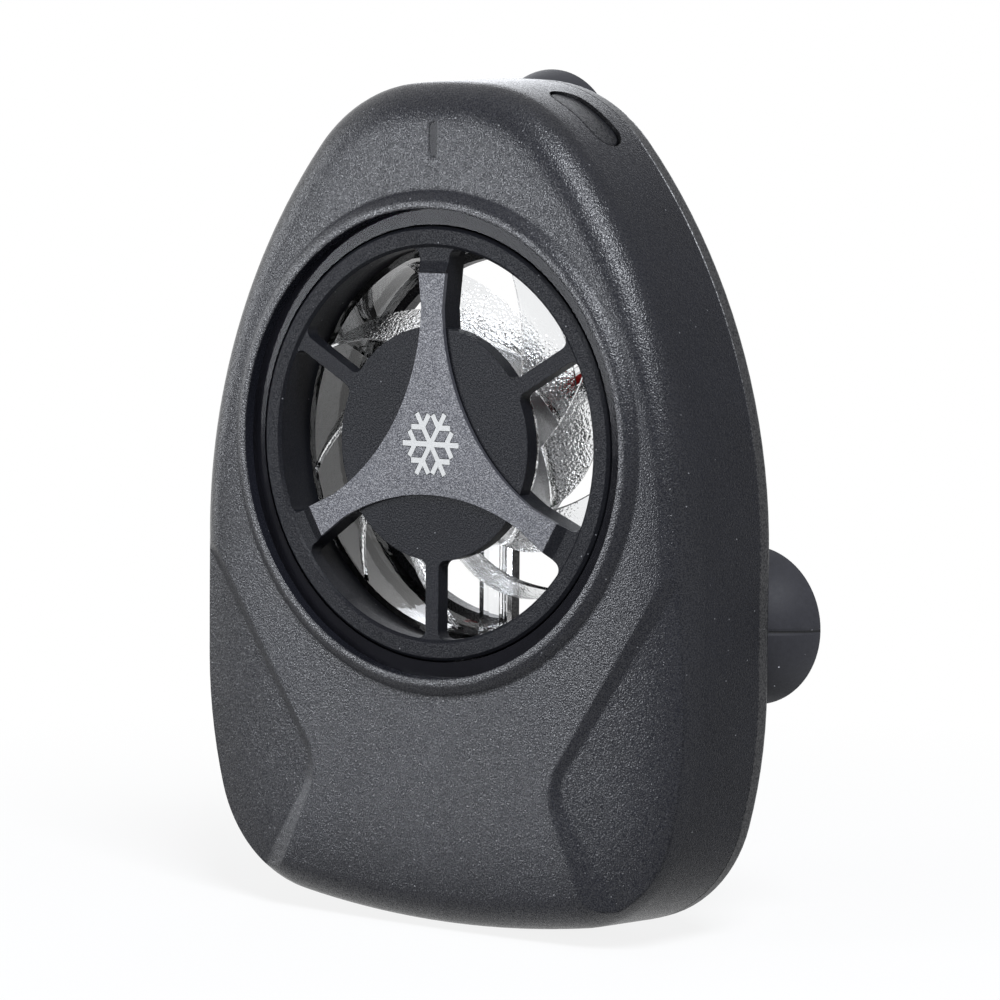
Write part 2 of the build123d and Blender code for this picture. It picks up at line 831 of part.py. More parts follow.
# Fan frame: clear duct with three channelled struts, motor seat and bearing tube
with BuildPart() as fan_frame:
    duct_inner = opening_radius - seat_gap
    duct_outer = duct_inner + duct_wall
    ring(frame_depth, frame_length, duct_outer, duct_inner)
    lugs(frame_depth, duct_outer - duct_wall / 2)
    with BuildSketch(level(strut_front)):
        with PolarLocations(0, spoke_count, start_angle=first_spoke_angle):
            Rectangle(duct_outer - duct_wall / 2, strut_width, align=(Align.MIN, Align.CENTER))
        Circle(seat_radius, mode=Mode.SUBTRACT)
    extrude(amount=-strut_thickness)
    channel_width = strut_width - 2 * strut_wall
    with BuildSketch(level(strut_front)):
        with PolarLocations(0, spoke_count, start_angle=first_spoke_angle):
            Rectangle(duct_inner, channel_width, align=(Align.MIN, Align.CENTER))
        with PolarLocations(0, 1, start_angle=first_spoke_angle):
            Rectangle(duct_outer + cut_over, channel_width, align=(Align.MIN, Align.CENTER))
    extrude(amount=-(strut_thickness - strut_floor), mode=Mode.SUBTRACT)
    disc(seat_depth, seat_thickness, seat_radius)
    disc(core_end, seat_depth - core_end, core_shoulder_radius)
    disc(bearing_front, bearing_length, core_bore - fit)
    disc(bearing_front - cut_over, bearing_length + cut_over, bearing_radius + fit, Mode.SUBTRACT)
    pocket_depth = shaft_tail + seat_gap
    disc(seat_depth - cut_over, pocket_depth + cut_over, clip_radius + seat_gap, Mode.SUBTRACT)
save(fan_frame, "fan_frame")

with BuildPart() as fan_screws:
    lug_end = frame_depth + flange_thickness
    screws(lug_places, lug_end, lug_end - flange_depth + fan_screw_grip)
save(fan_screws, "fan_screws")

# Motor: board, core, coils, bearing, shaft and clip
with BuildPart() as motor_board:
    motor_board_bore = core_shoulder_radius + fit
    ring(seat_depth - motor_board_thickness, motor_board_thickness, motor_board_radius, motor_board_bore)
save(motor_board, "motor_board")

with BuildPart() as motor_chip:
    chip_place = polar((core_shoulder_radius + motor_board_radius) / 2, chip_angle)
    with BuildSketch(level(seat_depth - motor_board_thickness - motor_chip_height)):
        with Locations(chip_place):
            Rectangle(motor_chip_side, motor_chip_side, rotation=chip_angle)
    extrude(amount=-motor_chip_height)
save(motor_chip, "motor_chip")

shoe_inner = core_radius - core_shoe_thickness

with BuildPart() as stator_core:
    with BuildSketch(level(core_middle - core_length / 2)):
        Circle(core_radius)
        Circle(shoe_inner, mode=Mode.SUBTRACT)
        slot_angle = 360 / core_arm_count - core_shoe_angle
        slot_width = 2 * core_radius * sin(radians(slot_angle / 2))
        with PolarLocations(0, core_arm_count, start_angle=180 / core_arm_count):
            Rectangle(core_radius, slot_width, align=(Align.MIN, Align.CENTER), mode=Mode.SUBTRACT)
        with PolarLocations(0, core_arm_count):
            core_arm_reach = core_radius - core_shoe_thickness / 2
            Rectangle(core_arm_reach, core_arm_width, align=(Align.MIN, Align.CENTER))
        Circle(core_bore + core_ring_wall)
        Circle(core_bore, mode=Mode.SUBTRACT)
    extrude(amount=-core_length)
save(stator_core, "stator_core")

with BuildPart() as stator_coils:
    coil_side = core_arm_width / 2 + coil_build
    coil_inner = core_bore + core_ring_wall + coil_gap
    coil_outer = sqrt(shoe_inner**2 - coil_side**2) - coil_gap
    with Locations(level(core_middle)):
        with PolarLocations((coil_inner + coil_outer) / 2, core_arm_count):
            Box(coil_outer - coil_inner, 2 * coil_side, core_length + 2 * coil_build)
    fillet(edges().filter_by(Plane.XZ, reverse=True).filter_by(GeomType.LINE), radius=coil_gap)
    with Locations(level(core_middle)):
        with PolarLocations((coil_inner + coil_outer) / 2, core_arm_count):
            Box(
                coil_outer - coil_inner + cut_over,
                core_arm_width + 2 * coil_gap,
                core_length + 2 * coil_gap,
                mode=Mode.SUBTRACT,
            )
save(stator_coils, "stator_coils")

with BuildPart() as bearing_sleeve:
    ring(bearing_front, bearing_length, bearing_radius, shaft_radius + running_gap)
save(bearing_sleeve, "bearing_sleeve")

clip_front = seat_depth + clip_play

with BuildPart() as motor_shaft:
    shaft_front = boss_end - shaft_root
    disc(shaft_front, clip_front - shaft_front, shaft_radius)
    disc(clip_front, clip_thickness, shaft_radius - shaft_groove)
    disc(clip_front + clip_thickness, shaft_tail - clip_play - clip_thickness, shaft_radius)
save(motor_shaft, "motor_shaft")

with BuildPart() as shaft_clip:
    clip_bore = shaft_radius - shaft_groove + running_gap
    ring(clip_front + running_gap, clip_thickness - 2 * running_gap, clip_radius, clip_bore)
save(shaft_clip, "shaft_clip")

with BuildPart() as rotor_magnet:
    ring(yoke_end - magnet_length, magnet_length, magnet_radius, magnet_radius - magnet_thickness)
save(rotor_magnet, "rotor_magnet")

with BuildPart() as rotor_yoke:
    disc(yoke_front, yoke_end - yoke_front, yoke_radius)
    disc(yoke_front + yoke_wall, yoke_end - yoke_front, yoke_radius - yoke_wall, Mode.SUBTRACT)
    disc(yoke_front - cut_over, yoke_wall + 2 * cut_over, rotor_boss_radius + fit, Mode.SUBTRACT)
save(rotor_yoke, "rotor_yoke")

# Impeller: clear hub with nine sickle blades that sweep forward the way it turns
with BuildPart() as blade:
    root = hub_radius - blade_root_sink
    reach = opening_radius - blade_tip_gap - root
    pitch = radians(blade_pitch)
    for along, chord, swept in blade_section_shares:
        turn = radians(blade_tip_angle - blade_sweep * (1 - swept))
        out = root + along * reach
        depth = rotor_front + hub_length / 2 - blade_tip_lean * along
        section = Plane(
            origin=(out * cos(turn), at(depth), out * sin(turn)),
            x_dir=(-sin(turn) * cos(pitch), -sin(pitch), cos(turn) * cos(pitch)),
            z_dir=(cos(turn), 0, sin(turn)),
        )
        half = chord * blade_root_chord / 2
        thick = blade_thickness * (1 - blade_taper_share * along) / 2
        crown = blade_crown_share * half
        with BuildSketch(section):
            with BuildLine():
                ThreePointArc((-half, -thick), (0, crown - thick), (half, -thick))
                Line((half, -thick), (half, thick))
                ThreePointArc((half, thick), (0, crown + thick), (-half, thick))
                Line((-half, thick), (-half, -thick))
            make_face()
    loft()

with BuildPart() as impeller:
    disc(rotor_front, hub_length, hub_radius)
    fillet(edges().group_by(Axis.Y)[0], radius=hub_wall / 2)
    for turn in range(blade_count):
        add(blade.part.rotate(Axis.Y, turn * 360 / blade_count))
    disc(rotor_front + hub_wall, hub_length, hub_radius - hub_wall, Mode.SUBTRACT)
    disc(rotor_front + hub_wall / 2, boss_end - rotor_front - hub_wall / 2, rotor_boss_radius)
    bore_front = boss_end - shaft_root - running_gap
    disc(bore_front, shaft_root + cut_over, shaft_radius + running_gap, Mode.SUBTRACT)
save(impeller, "impeller")

# Power button with its plunger, switch and board
with BuildPart() as power_button:
    cap_back = button_back + button_flange_thickness
    pill(cap_back, top_radius)
    posts([cap_centre], 0, overall_depth, button_reach - button_recess, Mode.INTERSECT)
    press = Axis(button_plane(0).origin, button_plane(0).z_dir)
    fillet(faces().sort_by(press)[-1].edges(), radius=soft_edge)
    pill(button_back, cap_back, button_flange)
save(power_button, "power_button")

with BuildPart() as switch_plunger:
    with BuildSketch(button_plane(button_back - plunger_length)):
        Circle(plunger_radius)
    extrude(amount=plunger_length)
save(switch_plunger, "switch_plunger")

with BuildPart() as button_switch:
    with BuildSketch(button_plane(switch_base)):
        Rectangle(switch_side, switch_side)
    extrude(amount=switch_height)
    with BuildSketch(button_plane(button_back - plunger_length - button_travel - seat_gap)):
        Circle(plunger_radius + fit)
    extrude(amount=switch_height, mode=Mode.SUBTRACT)
save(button_switch, "button_switch")

with BuildPart() as button_board:
    with BuildSketch(button_plane(rib_reach)):
        Rectangle(button_board_length, button_board_width)
    extrude(amount=board_thickness)
save(button_board, "button_board")

# Battery, its pad, the main board and what the board carries
battery_top = -(rim_radius + battery_below_rim)
battery_height = battery_top - foot_height - wall - battery_end_gap
battery_width = main_board_width - 2 * (standoff_inset + standoff_radius + battery_side_gap)
battery_middle = battery_top - battery_height / 2
battery_front = face_depth + wall + pad_thickness

with BuildPart() as battery_pad:
    with BuildSketch(level(face_depth + wall)):
        with Locations((0, battery_middle)):
            Rectangle(battery_width - 2 * pad_margin, battery_height - 2 * pad_margin)
    extrude(amount=-pad_thickness)
save(battery_pad, "battery_pad")

with BuildPart() as battery_cell:
    with BuildSketch(level(battery_front)):
        with Locations((0, battery_middle)):
            RectangleRounded(battery_width, battery_height, battery_corner)
    extrude(amount=-battery_thickness)
    fillet(edges().filter_by(Plane.XZ), radius=battery_corner / 2)
save(battery_cell, "battery_cell")

with BuildPart() as main_board:
    with BuildSketch(level(main_board_depth)):
        with Locations((0, board_top - main_board_height / 2)):
            RectangleRounded(main_board_width, main_board_height, board_corner)
        with Locations(*board_screw_places):
            Circle(lug_hole_radius, mode=Mode.SUBTRACT)
    extrude(amount=-board_thickness)
save(main_board, "main_board")

with BuildPart() as board_chips:
    with BuildSketch(level(main_board_depth - chip_height)):
        for across, down in chip_place_shares:
            with Locations((across * main_board_width, board_top - down * main_board_height)):
                Rectangle(chip_side, chip_side)
    extrude(amount=-chip_height)
save(board_chips, "board_chips")

with BuildPart() as board_screws:
    screws(board_screw_places, main_board_depth + board_thickness, board_thickness + board_screw_grip)
save(board_screws, "board_screws")

with BuildPart() as charge_socket:
    mouth = foot_height + draft_inset + seat_gap
    inner_height = socket_height - 2 * socket_wall
    with BuildSketch(Plane(origin=(0, at(socket_depth), mouth), z_dir=(0, 0, 1))):
        SlotOverall(socket_width, socket_height)
        SlotOverall(socket_width - 2 * socket_wall, inner_height, mode=Mode.SUBTRACT)
    extrude(amount=socket_length)
    with BuildSketch(Plane(origin=(0, at(socket_depth), mouth + socket_length), z_dir=(0, 0, -1))):
        SlotOverall(socket_width, socket_height)
    extrude(amount=socket_back)
    with BuildSketch(Plane(origin=(0, at(socket_depth), mouth + socket_length), z_dir=(0, 0, -1))):
        Rectangle(socket_tongue_width, socket_tongue_thickness)
    extrude(amount=socket_back + socket_tongue_length)
save(charge_socket, "charge_socket")

# Back cover: vented plate with a spigot, screw pads and cup holes
with BuildPart() as back_cover:
    spigot_front = seam_depth - spigot_height
    with BuildSketch(level(body_depth)):
        add(outline(0))
    extrude(amount=back_rim)
    fillet(edges().group_by(Axis.Y)[-1], radius=back_edge_fillet)
    chamfer(edges().group_by(Axis.Y)[0], length=edge_chamfer)
    with BuildSketch(level(cover_inner_depth)):
        add(outline(spigot_inset))
    extrude(amount=cover_inner_depth - spigot_front)
    with BuildSketch(level(cover_inner_depth)):
        add(outline(spigot_inset + spigot_wall))
    extrude(amount=cover_inner_depth - spigot_front + cut_over, mode=Mode.SUBTRACT)
    with BuildSketch(level(cover_inner_depth)):
        with Locations(*case_places):
            Circle(pad_radius)
        add(outline(spigot_inset + spigot_wall / 2), mode=Mode.INTERSECT)
    extrude(amount=pad_height)
    relief = case_pad_depth - spigot_front + cut_over
    posts(case_places, spigot_front - cut_over, relief, boss_radius + seat_gap, Mode.SUBTRACT)
    posts(case_places, spigot_front, body_depth - spigot_front, lug_hole_radius, Mode.SUBTRACT)
    posts(case_places, case_seat_depth, back_wall, counterbore_radius, Mode.SUBTRACT)
    pill(rib_reach, top_radius, button_flange + seat_gap, Mode.SUBTRACT)
    with BuildSketch(level(cover_inner_depth - cut_over)):
        Circle(vent_radius)
        Circle(seat_radius - vent_hub_margin, mode=Mode.SUBTRACT)
        with PolarLocations(0, spoke_count, start_angle=first_spoke_angle):
            Rectangle(vent_radius, vent_rib_width, align=(Align.MIN, Align.CENTER), mode=Mode.SUBTRACT)
    extrude(amount=-(back_wall + 2 * cut_over), mode=Mode.SUBTRACT)
    cup_hole_radius = cup_neck_radius + fit
    posts(cup_places.values(), cover_inner_depth, back_wall + cut_over, cup_hole_radius, Mode.SUBTRACT)
save(back_cover, "back_cover")

with BuildPart() as case_screws:
    screws(case_places, case_seat_depth, case_screw_length)
save(case_screws, "case_screws")

# Suction cups: each is pushed through the back cover and held by its mushroom head
for side, (across, up) in cup_places.items():
    with BuildPart() as suction_cup:
        head_front = cover_inner_depth - fit - cup_head_thickness
        skirt_front = body_depth + fit
        hollow_top = overall_depth - cup_hollow
        skirt_rise = overall_depth - skirt_front
        with BuildSketch(Plane(origin=(across, 0, up), z_dir=(0, 0, 1))):
            with BuildLine():
                Polyline(
                    (0, at(hollow_top)),
                    (0, at(head_front)),
                    (cup_head_radius - cup_head_thickness / 2, at(head_front)),
                    (cup_head_radius, at(head_front + cup_head_thickness / 2)),
                    (cup_head_radius, at(head_front + cup_head_thickness)),
                    (cup_neck_radius, at(head_front + cup_head_thickness)),
                    (cup_neck_radius, at(skirt_front)),
                    (cup_shoulder_radius, at(skirt_front)),
                )
                bulge = cup_shoulder_radius + cup_bulge_share * (cup_radius - cup_shoulder_radius)
                ThreePointArc(
                    (cup_shoulder_radius, at(skirt_front)),
                    (bulge, at(skirt_front + cup_rise_share * skirt_rise)),
                    (cup_radius, at(overall_depth)),
                )
                Line((cup_radius, at(overall_depth)), (cup_radius - cup_lip, at(overall_depth)))
                TangentArc((0, at(hollow_top)), (cup_radius - cup_lip, at(overall_depth)), tangent=(1, 0))
            make_face()
        revolve(axis=Axis((across, 0, up), (0, 1, 0)))
    save(suction_cup, f"suction_cup_{side}")

# Leads: fan to board round the right of the duct, battery to board over its top
fan_lead_depth = seat_depth - fan_wire_radius - running_gap

for name, side in (("red", 1), ("black", -1)):
    aside = side * fan_wire_spacing / 2
    start = polar(motor_board_radius + fit, first_spoke_angle, aside)
    route = [(start[0], at(fan_lead_depth), start[1])]
    for place, (gap, angle) in enumerate(zip(fan_lead_gaps, fan_lead_angles)):
        corner = polar(duct_outer + gap + aside, angle, 0 if place else aside)
        route.append((corner[0], at(board_middle_depth if place else fan_lead_depth), corner[1]))
    route[-1] = (fan_lead_x + aside, at(board_middle_depth), route[-1][2])
    route.append((fan_lead_x + aside, at(board_middle_depth), board_top))
    radii = bend_radii(route, wire_arc_share)
    with BuildPart() as fan_wire:
        with BuildLine() as path:
            FilletPolyline(*route, radius=radii)
        with BuildSketch(Plane(origin=path.line @ 0, z_dir=path.line % 0)):
            Circle(fan_wire_radius)
        sweep(path=path.line)
    print("fan wire", name, "radii", [round(radius, 2) for radius in radii])
    print("length", round(path.wires()[0].length, 2), "volume", round(fan_wire.part.volume, 3))
    save(fan_wire, f"fan_wire_{name}")

for name, side in (("red", 1), ("black", -1)):
    across = battery_lead_x + side * battery_lead_spacing / 2
    battery_depth = battery_front + battery_thickness / 2
    lean = battery_lead_lean
    route = [
        (across, at(battery_depth), battery_top),
        (across, at(battery_depth + lean), battery_top + battery_lead_rise),
        (across, at((battery_depth + board_middle_depth) / 2 + lean), board_top + battery_lead_crest),
        (across, at(board_middle_depth), board_top + battery_lead_rise + lean),
        (across, at(board_middle_depth), board_top),
    ]
    radii = bend_radii(route, wire_arc_share)
    with BuildPart() as battery_wire:
        with BuildLine() as path:
            FilletPolyline(*route, radius=radii)
        with BuildSketch(Plane(origin=path.line @ 0, z_dir=path.line % 0)):
            Circle(battery_wire_radius)
        sweep(path=path.line)
    print("battery wire", name, "radii", [round(radius, 2) for radius in radii])
    print("length", round(path.wires()[0].length, 2), "volume", round(battery_wire.part.volume, 3))
    save(battery_wire, f"battery_wire_{name}")

with BuildPart() as light_ribbon:
    with BuildSketch(level(light_board_depth + board_thickness)):
        with Locations((tail_offset, -(light_board_radius + tail_length / 2))):
            Rectangle(ribbon_width, ribbon_thickness)
    extrude(amount=-(main_board_depth - light_board_depth - board_thickness))
save(light_ribbon, "light_ribbon")
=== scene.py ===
import bpy
import json
from math import cos, pi, radians, sin
from mathutils import Matrix, Vector


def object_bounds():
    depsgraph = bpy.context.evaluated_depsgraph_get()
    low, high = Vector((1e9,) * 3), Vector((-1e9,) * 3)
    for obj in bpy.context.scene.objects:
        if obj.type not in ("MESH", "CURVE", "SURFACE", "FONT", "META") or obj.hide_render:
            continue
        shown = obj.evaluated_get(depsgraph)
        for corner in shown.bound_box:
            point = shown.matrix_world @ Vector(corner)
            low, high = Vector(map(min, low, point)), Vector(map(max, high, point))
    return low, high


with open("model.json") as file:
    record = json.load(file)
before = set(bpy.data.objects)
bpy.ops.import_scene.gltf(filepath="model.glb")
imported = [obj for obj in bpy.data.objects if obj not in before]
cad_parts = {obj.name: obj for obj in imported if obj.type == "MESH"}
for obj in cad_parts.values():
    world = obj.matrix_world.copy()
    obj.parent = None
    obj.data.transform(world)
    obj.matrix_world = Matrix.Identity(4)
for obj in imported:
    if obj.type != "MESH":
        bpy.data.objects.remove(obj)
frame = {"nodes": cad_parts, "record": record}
nodes = frame["nodes"]
cad_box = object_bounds()

MM = 0.001

# The body's outline from the front, in mm: each arc's radius, the x and z of its middle, and where it curves:
# MAXIMUM only above its middle's height and MINIMUM only below it, with a straight run on the other side
SHOULDER_ARC = (64.1, -32.1, -10.5, "MAXIMUM")
LOW_ARC = (53.2, -21.2, -24.0, "MINIMUM")
CROWN_ARC = (57.7, 0.0, -20.25, None)
BASE_ARC = (116.8, 0.0, 66.6, None)
ARC_BLEND = 8 * MM
# How far in from the outline the front's soft fall has faded to about a third
FALL_REACH = 3.6 * MM

# The rim's flat top shines more than the face; the extra fades out between these distances from the axis
RIM_FADE = (24.7 * MM, 24.9 * MM)

# The power button's hole: its middle, the x and z of its long direction, and half of its straight length
BUTTON_MIDDLE = (13.6 * MM, -12.2 * MM, 33.9 * MM)
BUTTON_LENGTHWAYS = (0.809, -0.588)
BUTTON_HALF_LENGTH = 2.45 * MM
# The shadow line round it fades out between these distances from its long middle line. Its shape runs on
# through the body, so it is faded out downwards between these heights, to keep it off the lower left wall
SHADOW_FADE = (2.22 * MM, 2.34 * MM)
SHADOW_HEIGHT = (15 * MM, 16 * MM)

# The cups' parting line and the impeller's hub
PARTING_HEIGHT = -18.3 * MM
HUB_RADIUS = 11.05 * MM

CHARCOAL = (0.0066, 0.007, 0.0094)
SATIN_BLACK = (0.0048, 0.0051, 0.0066)
STAR_GREY = (0.034, 0.0345, 0.04)
CLEAR = (0.93, 0.94, 0.95)

# Places of a vector Mix node's sockets
VECTOR_A, VECTOR_B, VECTOR_RESULT = 4, 5, 1


def rgba(value):
    if isinstance(value, (tuple, list)) and len(value) == 3:
        return (*value, 1.0)
    return value


def scaled(colour, factor):
    return [channel * factor for channel in colour]


class Shade:
    """The node tree of a material or the world, built by short calls. Points are in metres."""

    def __init__(self, name, world=False):
        kind = bpy.data.worlds if world else bpy.data.materials
        self.owner = kind.new(name)
        self.owner.use_nodes = True
        self.tree = self.owner.node_tree
        self.tree.nodes.clear()
        self.output = self.add("ShaderNodeOutputWorld" if world else "ShaderNodeOutputMaterial")
        self.place = self.add("ShaderNodeTexCoord").outputs["Object"]

    def add(self, kind, **values):
        node = self.tree.nodes.new(kind)
        for key, value in values.items():
            setattr(node, key, value)
        return node

    def link(self, source, target):
        """Links a socket to a target, or sets the target to a plain value."""
        if hasattr(source, "links"):
            self.tree.links.new(source, target)
        else:
            target.default_value = source

    def math(self, operation, first, second=0.0, third=0.0):
        node = self.add("ShaderNodeMath", operation=operation)
        for socket, value in zip(node.inputs, (first, second, third)):
            self.link(value, socket)
        return node.outputs[0]

    def range(self, value, low, high, to_low=0.0, to_high=1.0):
        node = self.add("ShaderNodeMapRange")
        self.link(value, node.inputs["Value"])
        numbers = {"From Min": low, "From Max": high, "To Min": to_low, "To Max": to_high}
        for socket, number in numbers.items():
            node.inputs[socket].default_value = number
        return node.outputs["Result"]

    def vary(self, noise, low=0.0, high=1.0):
        """A noise's usual span, stretched to the one that is wanted."""
        return self.range(noise, 0.3, 0.7, low, high)

    def mix(self, share, first, second):
        node = self.add("ShaderNodeMix", data_type="RGBA")
        self.link(share, node.inputs["Factor"])
        self.link(rgba(first), node.inputs["A"])
        self.link(rgba(second), node.inputs["B"])
        return node.outputs["Result"]

    def noise(self, size, detail=2.0, rough=0.5, stretch=None):
        """Noise whose lumps are about a size across."""
        node = self.add("ShaderNodeTexNoise")
        place = self.place
        if stretch:
            mapping = self.add("ShaderNodeMapping")
            self.link(place, mapping.inputs["Vector"])
            mapping.inputs["Scale"].default_value = stretch
            place = mapping.outputs["Vector"]
        self.link(place, node.inputs["Vector"])
        node.inputs["Scale"].default_value = 1 / size
        node.inputs["Detail"].default_value = detail
        node.inputs["Roughness"].default_value = rough
        return node.outputs["Fac"]

    def cells(self, size):
        """Distance from the nearest of many scattered points, as a share of their spacing."""
        node = self.add("ShaderNodeTexVoronoi")
        self.link(self.place, node.inputs["Vector"])
        node.inputs["Scale"].default_value = 1 / size
        return node.outputs["Distance"]

    def specks(self, size, small, large):
        """1 on small specks about a size apart, and 0 between them."""
        return self.range(self.cells(size), small, large, 1.0, 0.0)

    def axis(self, name):
        node = self.add("ShaderNodeSeparateXYZ")
        self.link(self.place, node.inputs[0])
        return node.outputs[name]

    def facing_front(self):
        """1 where the surface faces the front, 0 on the walls round it."""
        node = self.add("ShaderNodeSeparateXYZ")
        self.link(self.add("ShaderNodeTexCoord").outputs["Normal"], node.inputs[0])
        return self.math("MULTIPLY", node.outputs["Y"], -1.0)

    def diagonal(self, across, along):
        """Distance made up of two others at a right angle."""
        squares = [self.math("MULTIPLY", side, side) for side in (across, along)]
        return self.math("SQRT", self.math("ADD", *squares))

    def radius(self):
        """Distance from the fan's axis."""
        return self.diagonal(self.axis("X"), self.axis("Z"))

    def outline_depth(self):
        """Distance in from the body's outline, seen from the front."""
        across = self.math("ABSOLUTE", self.axis("X"))
        up = self.axis("Z")
        depth = 1.0
        for radius, x, z, half in (SHOULDER_ARC, LOW_ARC, CROWN_ARC, BASE_ARC):
            from_x = self.math("SUBTRACT", across, x * MM)
            from_z = self.math("SUBTRACT", up, z * MM)
            if half:
                from_z = self.math(half, from_z)
            inside = self.math("SUBTRACT", radius * MM, self.diagonal(from_x, from_z))
            depth = self.math("SMOOTH_MIN", depth, inside, ARC_BLEND)
        return depth

    def slot_shadow(self):
        """1 in the shadow line round the power button's hole."""
        x, y, z = BUTTON_MIDDLE
        from_x = self.math("SUBTRACT", self.axis("X"), x)
        from_z = self.math("SUBTRACT", self.axis("Z"), z)
        parts = [self.math("MULTIPLY", *pair) for pair in zip((from_x, from_z), BUTTON_LENGTHWAYS)]
        along = self.math("ABSOLUTE", self.math("ADD", *parts))
        past_end = self.math("MAXIMUM", self.math("SUBTRACT", along, BUTTON_HALF_LENGTH))
        across = self.math("SUBTRACT", self.axis("Y"), y)
        line = self.range(self.diagonal(past_end, across), *SHADOW_FADE, 1.0, 0.0)
        return self.math("MULTIPLY", self.range(self.axis("Z"), *SHADOW_HEIGHT), line)

    def bump(self, height, depth, normal=None):
        node = self.add("ShaderNodeBump")
        self.link(height, node.inputs["Height"])
        node.inputs["Distance"].default_value = depth
        if normal is not None:
            self.link(normal, node.inputs["Normal"])
        return node.outputs["Normal"]

    def rounded(self, radius, walls=False):
        """Edges rounded off on the front, and on the walls too if asked."""
        node = self.add("ShaderNodeBevel", samples=4)
        node.inputs["Radius"].default_value = radius
        if walls:
            return node.outputs["Normal"]
        blend = self.add("ShaderNodeMix", data_type="VECTOR")
        self.link(self.range(self.facing_front(), 0.15, 0.4), blend.inputs["Factor"])
        self.link(self.add("ShaderNodeNewGeometry").outputs["Normal"], blend.inputs[VECTOR_A])
        self.link(node.outputs["Normal"], blend.inputs[VECTOR_B])
        return blend.outputs[VECTOR_RESULT]

    def surface(self, **values):
        """Principled surface; a socket's name is written with underscores."""
        node = self.add("ShaderNodeBsdfPrincipled")
        for key, value in values.items():
            socket = node.inputs[key.replace("_", " ")]
            self.link(rgba(value) if socket.type == "RGBA" else value, socket)
        self.link(node.outputs[0], self.output.inputs["Surface"])
        return node

    def shader(self, kind, colour, strength=None):
        """A plain shader of one colour, with a strength if it gives light."""
        node = self.add(kind)
        node.inputs["Color"].default_value = rgba(colour)
        if strength is not None:
            node.inputs["Strength"].default_value = strength
        return node

    def blend(self, share, first, second):
        """Shows a blend of two shaders; at a share of 1 it is all the second."""
        node = self.add("ShaderNodeMixShader")
        for socket, source in zip(node.inputs, (share, first.outputs[0], second.outputs[0])):
            self.link(source, socket)
        self.link(node.outputs[0], self.output.inputs["Surface"])

    def seen_rays(self):
        """1 for rays from the camera, in gloss and through clear pieces, and 0 for the rest."""
        path = self.add("ShaderNodeLightPath").outputs
        seen = self.math("MAXIMUM", path["Is Camera Ray"], path["Is Glossy Ray"])
        return self.math("MAXIMUM", seen, path["Is Transmission Ray"])


def grained_plastic(
    name, base, grain, depth, rough, shine, speck, edge=0.0, grain_on_walls=1.0, shine_on_walls=1.0, fall=0.0
):
    """Moulded plastic with a spark eroded grain, whose edges are rounded off by edge.

    The grain and the shine on the walls are shares of the front's, and with a grain over 1 the walls' edges
    are rounded too. A fall is for the body alone: it lets the front drop away softly towards the outline,
    brightens the rim and paints a near-black shadow line round the button's hole.
    """
    shade = Shade(name)
    share = shade.range(shade.facing_front(), 0.3, 0.9, grain_on_walls, 1.0)
    normal = shade.rounded(edge, grain_on_walls > 1) if edge else None
    if fall:
        near_edge = shade.math("EXPONENT", shade.math("MULTIPLY", shade.outline_depth(), -1 / FALL_REACH))
        normal = shade.bump(shade.math("MULTIPLY", near_edge, -fall), 1.0, normal)

    lumps = shade.noise(grain, 1.0)
    pits = shade.cells(grain * 1.3)
    height = shade.math("ADD", lumps, shade.math("MULTIPLY", pits, 0.5))
    normal = shade.bump(shade.math("MULTIPLY", height, share), depth, normal)

    drift = shade.vary(shade.noise(9 * MM, 3.0))
    colour = shade.mix(drift, scaled(base, 0.88), scaled(base, 1.12))
    # Pale flecks on the grain's lump tops are painted glints, shared out between the front and the walls like
    # the grain
    painted_glint_mask = shade.math("MULTIPLY", shade.range(lumps, 0.6, 0.8, 0.0, speck), share)
    colour = shade.mix(painted_glint_mask, colour, scaled(base, 6))
    dust = shade.range(shade.cells(1.7 * MM), 0.03, 0.05, 0.5, 0.0)
    colour = shade.mix(dust, colour, (0.3, 0.3, 0.31))

    sparkle = shade.range(shade.noise(grain * 0.9, 0.0), 0.32, 0.68, -1.0, 1.0)
    sparkle = shade.math("MULTIPLY", shade.math("MULTIPLY", sparkle, share), 0.6 * shine)
    level = shade.math("ADD", sparkle, shine)
    level = shade.math("MULTIPLY", level, shade.range(shade.facing_front(), 0.0, 0.6, shine_on_walls, 1.0))
    if fall:
        level = shade.math("MULTIPLY", level, shade.range(shade.radius(), *RIM_FADE, 1.4, 1.0))
        # Painted shadow: the line round the button's hole is near black and has no shine
        lit = shade.math("SUBTRACT", 1.0, shade.slot_shadow())
        level = shade.math("MULTIPLY", level, lit)
        colour = shade.mix(lit, (0.001, 0.001, 0.001), colour)

    roughness = shade.vary(shade.noise(grain * 1.7), rough - 0.05, rough + 0.05)
    shade.surface(Base_Color=colour, Roughness=roughness, Specular_IOR_Level=level, Normal=normal)
    return shade.owner


def clear_plastic(name, tint, rough, frosted=None):
    """Clear moulded plastic with faint flow ripples; frosted is the radius past which it is textured."""
    shade = Shade(name)
    normal = shade.bump(shade.noise(3 * MM), 0.03 * MM)
    roughness = shade.vary(shade.noise(1.2 * MM, 3.0), rough * 0.6, rough * 1.4)
    if frosted:
        etched = shade.range(shade.radius(), frosted - 0.1 * MM, frosted + 0.1 * MM)
        fading = shade.range(shade.radius(), frosted + 1.5 * MM, frosted + 6 * MM, 1.0, 0.12)
        etched = shade.math("MULTIPLY", etched, fading)
        pits = shade.noise(0.3 * MM, 1.0, 0.6)
        normal = shade.bump(shade.math("MULTIPLY", pits, etched), 0.2 * MM, normal)
        roughness = shade.math("ADD", roughness, shade.math("MULTIPLY", etched, 0.05))
    shade.surface(Base_Color=tint, Roughness=roughness, IOR=1.49, Transmission_Weight=1.0, Normal=normal)
    return shade.owner


